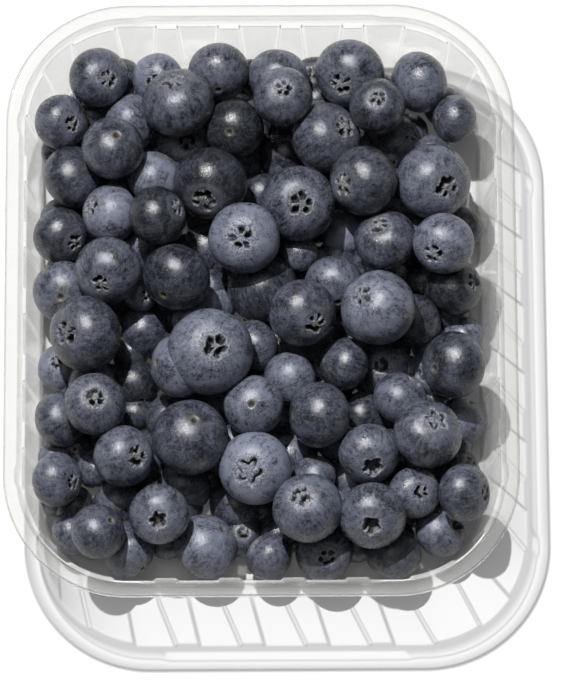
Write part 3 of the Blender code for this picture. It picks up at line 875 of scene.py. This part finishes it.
def clear_sheet():
    """Clear PET sheet, thermoformed: almost colourless and glossy, with a faint grey-green cast.

    Light from lamps goes straight through it, dimmed where the sheet is steep or bent. A ray
    that has turned several times inside the sheet leaves it straight, and isn't lost in it.
    """
    material, tree = new_material("clear_pet_sheet")
    thick = node(tree, "Attribute", attribute_name="thick")
    tint = node(tree, "Mix", {0: thick.outputs["Fac"], 6: linear(WALL_TINT), 7: linear(RIM_TINT)},
                data_type="RGBA")
    glass = node(tree, "BsdfPrincipled", {
        "Base Color": tint.outputs[2],
        "Roughness": PET_ROUGHNESS,
        "IOR": PET_IOR,
        "Transmission Weight": 1.0,
    })
    facing = node(tree, "LayerWeight", {"Blend": 0.5})
    steep = node(tree, "Math", {0: facing.outputs["Facing"], 1: STEEP_POWER}, operation="POWER")
    lost = node(tree, "Math", {0: steep.outputs[0], 1: STEEP_LOSS, 2: FLAT_LOSS}, operation="MULTIPLY_ADD")
    kept = node(tree, "Attribute", attribute_name="kept_back")
    dimmed = node(tree, "Math", {0: lost.outputs[0], 1: kept.outputs["Fac"]}, operation="ADD")
    passed = node(tree, "Math", {0: 1.0, 1: dimmed.outputs[0]}, operation="SUBTRACT", use_clamp=True)
    through = node(tree, "BsdfTransparent", {"Color": passed.outputs[0]})
    bend = node(tree, "Attribute", attribute_name="bend")
    veil = node(tree, "Math", {0: bend.outputs["Fac"], 1: BEND_VEIL}, operation="MULTIPLY")
    bend_tone = node(tree, "Mix", {
        0: thick.outputs["Fac"],
        6: linear(WALL_BEND_TONE),
        7: linear(RIM_BEND_TONE),
    }, data_type="RGBA")
    clear = node(tree, "BsdfTransparent", {"Color": bend_tone.outputs[2]})
    glint = node(tree, "BsdfGlossy", {"Color": linear("ffffff"), "Roughness": GLINT_ROUGHNESS})
    on_rim = node(tree, "Attribute", attribute_name="glint")
    glinting = node(tree, "Math", {0: on_rim.outputs["Fac"], 1: RIM_GLINT, 2: BEND_GLINT},
                    operation="MULTIPLY_ADD")
    veil_tone = node(tree, "MixShader", {0: glinting.outputs[0], 1: clear.outputs[0], 2: glint.outputs[0]})
    softened = node(tree, "MixShader", {0: veil.outputs[0], 1: glass.outputs[0], 2: veil_tone.outputs[0]})
    rays = node(tree, "LightPath")
    soft_rays = node(tree, "Math", {0: rays.outputs["Is Shadow Ray"], 1: rays.outputs["Is Diffuse Ray"]},
                     operation="MAXIMUM")
    turned = node(tree, "Math", {0: rays.outputs["Ray Depth"], 1: MOST_TURNS}, operation="GREATER_THAN")
    straight = node(tree, "Math", {0: soft_rays.outputs[0], 1: turned.outputs[0]}, operation="MAXIMUM")
    mixed = node(tree, "MixShader", {0: straight.outputs[0], 1: softened.outputs[0], 2: through.outputs[0]})
    node(tree, "OutputMaterial", {"Surface": mixed.outputs[0]})
    return material


def berry_skin():
    """Blueberry skin: near black and satin, under a powdery wax bloom that is rubbed off in places.

    Its patterns lie on two attributes that count millimetres: one on the skin itself, and one
    that runs from crown to stem. The crown is paler, flaky and dry, with ragged folds painted
    dark as shade.
    """
    material, tree = new_material("bloomed_berry_skin")
    own_bloom, calyx, disc, fold, crown, scar_rim, scar = (
        node(tree, "Attribute", attribute_name=share).outputs["Fac"] for share in SHARES)

    spread, grains = 0.0, []
    for lies_on, scale, detail, roughness, distortion, weight in BLOOM_PATTERNS:
        grain = node(tree, "TexNoise", {
            "Vector": node(tree, "Attribute", attribute_name=lies_on).outputs["Vector"],
            "Scale": scale,
            "Detail": detail,
            "Roughness": roughness,
            "Distortion": distortion,
        }).outputs["Fac"]
        spread = node(tree, "Math", {0: grain, 1: weight, 2: spread}, operation="MULTIPLY_ADD").outputs[0]
        grains.append(grain)
    mottle, specks = grains[1], grains[2]
    uneven = node(tree, "Math", {0: spread, 1: EVEN_BLOOM}, operation="SUBTRACT")
    swing = node(tree, "Math", {0: own_bloom, 1: LEAST_SWING}, operation="ADD")
    bloom = node(tree, "Math", {0: uneven.outputs[0], 1: swing.outputs[0], 2: own_bloom},
                 operation="MULTIPLY_ADD", use_clamp=True)
    bloom = node(tree, "Math", {0: crown, 1: CROWN_BLOOM, 2: bloom.outputs[0]},
                 operation="MULTIPLY_ADD", use_clamp=True)
    skin = node(tree, "Attribute", attribute_name="skin").outputs["Vector"]
    cells = node(tree, "TexVoronoi", {"Vector": skin, "Scale": DOT_SCALE, "Randomness": 1.0})
    dots = node(tree, "MapRange", {
        "Value": cells.outputs["Distance"],
        "From Min": DOT_CLEAR,
        "From Max": DOT_FULL,
    })
    undotted = node(tree, "Math", {0: dots.outputs[0], 1: -DOT_LOSS, 2: 1.0}, operation="MULTIPLY_ADD")
    bloom = node(tree, "Math", {0: bloom.outputs[0], 1: undotted.outputs[0]}, operation="MULTIPLY").outputs[0]

    flecks = node(tree, "TexNoise", {
        "Vector": skin,
        "Scale": FLECK_SCALE,
        "Detail": 2.0,
        "Roughness": 0.65,
        "Distortion": 0.8,
    }).outputs["Fac"]
    # The crown's folds are painted near black as shade, made ragged by the flecks
    depth = node(tree, "Math", {0: fold, 1: FOLD_SHADE_START}, operation="SUBTRACT")
    ragged = node(tree, "Math", {0: flecks, 1: FLECK_SHARE, 2: depth.outputs[0]}, operation="MULTIPLY_ADD")
    fold_shade = node(tree, "MapRange", {"Value": ragged.outputs[0], "From Min": 0.3, "From Max": 0.55})
    pits = node(tree, "MapRange", {"Value": flecks, "From Min": 0.52, "From Max": 0.42})
    pits = node(tree, "Math", {0: pits.outputs[0], 1: crown}, operation="MULTIPLY")
    pits = node(tree, "Math", {0: pits.outputs[0], 1: PIT_SHARE}, operation="MULTIPLY")
    # The painted fold shade, the crown's pits and the scar's middle all take the near black
    fold_shade_pits_and_scar = node(tree, "Math", {0: fold_shade.outputs[0], 1: pits.outputs[0]}, operation="MAXIMUM")
    fold_shade_pits_and_scar = node(tree, "Math", {0: fold_shade_pits_and_scar.outputs[0], 1: scar}, operation="MAXIMUM").outputs[0]

    flaky = node(tree, "Math", {0: specks, 1: 1.6, 2: -0.2}, operation="MULTIPLY_ADD").outputs[0]
    disc_tone = node(tree, "Mix", {0: flaky, 6: linear(DISC_DARK), 7: linear(DISC_PALE)}, data_type="RGBA")
    colour = linear(SKIN_DARK)
    for share, strength, tone in (
        (bloom, 1.0, linear(SKIN_BLOOM)),
        (calyx, flaky, linear(CALYX_PALE)),
        (disc, 0.85, disc_tone.outputs[2]),
        (scar_rim, 0.55, linear(SCAR_RIM)),
        (fold_shade_pits_and_scar, 0.96, linear(SHADE_AND_PIT_BLACK)),
    ):
        amount = node(tree, "Math", {0: share, 1: strength}, operation="MULTIPLY", use_clamp=True)
        colour = node(tree, "Mix", {0: amount.outputs[0], 6: colour, 7: tone}, data_type="RGBA").outputs[2]

    dry = node(tree, "Math", {0: fold_shade_pits_and_scar, 1: disc}, operation="MAXIMUM")
    dry = node(tree, "Math", {0: dry.outputs[0], 1: calyx}, operation="MAXIMUM")
    rough = node(tree, "MapRange", {"Value": bloom, "To Min": SHINY_SKIN, "To Max": BLOOMED_SKIN})
    rough = node(tree, "Math", {0: dry.outputs[0], 1: DRY_ADDS, 2: rough.outputs[0]},
                 operation="MULTIPLY_ADD", use_clamp=True)
    relief = node(tree, "Math", {0: mottle, 1: MOTTLE_HEIGHT, 2: specks}, operation="MULTIPLY_ADD")
    bump = node(tree, "Bump", {
        "Strength": BUMP_STRENGTH,
        "Distance": BUMP_HEIGHT,
        "Height": relief.outputs[0],
    })
    shader = node(tree, "BsdfPrincipled", {
        "Base Color": colour,
        "Roughness": rough.outputs[0],
        "Specular IOR Level": SKIN_SPECULAR,
        "Normal": bump.outputs[0],
    })
    node(tree, "OutputMaterial", {"Surface": shader.outputs[0]})
    return material


def floor_paint():
    """Matt white studio paint with a painted glow for the light it gives back, weaker under the heap as
    painted shade.
    """
    material, tree = new_material("matt_white_floor_painted_glow")
    grain = node(tree, "TexNoise", {"Scale": 40.0, "Detail": 2.0})
    tone = node(tree, "Mix", {0: grain.outputs["Fac"], 6: linear(FLOOR_DARK), 7: linear(FLOOR_PALE)},
                data_type="RGBA")
    place = node(tree, "TexCoord").outputs["Object"]
    from_heap = node(tree, "VectorMath", {0: place, 1: HEAP_MIDDLE}, operation="SUBTRACT")
    share = node(tree, "VectorMath", {0: from_heap.outputs[0], 1: (1 / HEAP_HALF_X, 1 / HEAP_HALF_Y, 0)},
                 operation="MULTIPLY")
    share = node(tree, "VectorMath", {0: share.outputs[0]}, operation="ABSOLUTE")
    sides = node(tree, "SeparateXYZ", {"Vector": share.outputs[0]})
    out_x = node(tree, "Math", {0: sides.outputs["X"], 1: HEAP_ROUNDNESS}, operation="POWER")
    out_y = node(tree, "Math", {0: sides.outputs["Y"], 1: HEAP_ROUNDNESS}, operation="POWER")
    out = node(tree, "Math", {0: out_x.outputs[0], 1: out_y.outputs[0]}, operation="ADD")
    # The floor's painted glow, weaker under the heap as painted shade
    glow = node(tree, "MapRange", {
        "Value": out.outputs[0],
        "From Min": 0.9,
        "From Max": 1.1,
        "To Min": UNDER_GLOW,
        "To Max": FLOOR_GLOW,
    })
    shader = node(tree, "BsdfPrincipled", {
        "Base Color": tone.outputs[2],
        "Roughness": 0.9,
        "Specular IOR Level": 0.1,
        "Emission Color": linear("ffffff"),
        "Emission Strength": glow.outputs[0],
    })
    node(tree, "OutputMaterial", {"Surface": shader.outputs[0]})
    return material


# ---------------------------------------------------------------- camera, lamp and floor

VIEW_TILT = math.radians(13)
VIEW_TURN = math.radians(-0.3)
VIEW_PLACE = Vector((4.7 * MM, -246.6 * MM, 1048 * MM))
VIEW_LENS = 237.5
# The key lamp faces past the punnet, so that the near and the far side are lit alike
KEY_PLACE, KEY_FACES = Vector((-0.153, 0.27, 0.7)), Vector((0.6, -0.76, -0.24))
KEY_WIDTH, KEY_POWER = 0.016, 12.0
SOFT_PLACE, SOFT_FACES = Vector((-0.2, 0.25, 1.4)), Vector((0.14, -0.18, -1.0))
SOFT_WIDTH, SOFT_POWER = 1.1, 4.4
SKY_STRENGTH = 0.055
# A glow painted into the floor for the light that a wide white studio floor gives back to its own shadows
FLOOR_GLOW = 0.18
# Under the heap, within these half widths of its middle, little of it arrives, so the painted glow is weaker
# there: painted shade
UNDER_GLOW = 0.06
HEAP_MIDDLE = (0, -1.5 * MM, 0)
HEAP_HALF_X, HEAP_HALF_Y, HEAP_ROUNDNESS = 55 * MM, 64 * MM, 5.0
FLOOR_HALF, FLOOR_GAP = 3.0, 0.05 * MM


def camera():
    data = bpy.data.cameras.new("view")
    data.lens = VIEW_LENS
    data.clip_start = 0.05
    obj = bpy.data.objects.new("view", data)
    obj.location = VIEW_PLACE
    obj.rotation_euler = Euler((VIEW_TILT, 0, VIEW_TURN))
    bpy.context.scene.collection.objects.link(obj)
    bpy.context.scene.camera = obj


def lamp(name, place, faces, width, power):
    data = bpy.data.lights.new(name, "AREA")
    data.shape = "DISK"
    data.size = width
    data.energy = power
    obj = bpy.data.objects.new(name, data)
    obj.location = place
    obj.rotation_euler = faces.to_track_quat("-Z", "Y").to_euler()
    bpy.context.scene.collection.objects.link(obj)


def sky():
    world = bpy.data.worlds.new("soft_studio")
    world.use_nodes = True
    background = world.node_tree.nodes["Background"]
    background.inputs["Color"].default_value = (1.0, 1.0, 1.0, 1.0)
    background.inputs["Strength"].default_value = SKY_STRENGTH
    bpy.context.scene.world = world


def floor():
    bm = bmesh.new()
    bmesh.ops.create_grid(bm, x_segments=4, y_segments=4, size=FLOOR_HALF)
    bmesh.ops.translate(bm, verts=bm.verts, vec=(0, 0, PUNNET_LOW.z - FLOOR_GAP))
    obj = object_from(bm, "floor")
    obj.data.materials.append(floor_paint())


# ---------------------------------------------------------------- putting it together

camera()
lamp("key_lamp", KEY_PLACE, KEY_FACES, KEY_WIDTH, KEY_POWER)
lamp("soft_lamp", SOFT_PLACE, SOFT_FACES, SOFT_WIDTH, SOFT_POWER)
sky()
floor()
bpy.context.scene.view_settings.view_transform = "Standard"

sheet = punnet_sheet()
sheet.data.materials.append(clear_sheet())
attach(sheet, "root")
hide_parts("punnet")

centres, radii = settled_berries()
table = UPPER_BERRIES + MIDDLE_BERRIES + LOWER_BERRIES + FRONT_BERRIES
known = [(centres[k], radii[k], *table[k][3:]) for k in range(len(table))]
rng = np.random.default_rng(HIDDEN_SEED)
hidden = [(centres[k], radii[k], "n", rng.uniform(0, 180), rng.uniform(0, 360), rng.uniform(*HIDDEN_BLOOM))
          for k in range(len(table), len(centres))]
skin_material = berry_skin()
# Name, berries, rings, points round a ring and random seed of each piece
groups = (
    ("berries_crown_up", [b for b in known if b[2] in "coe"], FINE_RINGS, 56, 21),
    ("berries_stem_up", [b for b in known if b[2] == "s"], FINE_RINGS, 50, 22),
    ("berries_on_their_side", [b for b in known if b[2] == "n"] + [twin_of(known)], FINE_RINGS, 40, 23),
    ("berries_below", hidden, COARSE_RINGS, 20, 24),
    ("berries_on_the_base", low_berries(rng), COARSE_RINGS, 16, 25),
)
for name, berries, rings, around, seed in groups:
    piece = berry_piece(name, berries, rings, around, seed)
    piece.data.materials.append(skin_material)
    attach(piece, "root")
    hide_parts("blueberries")
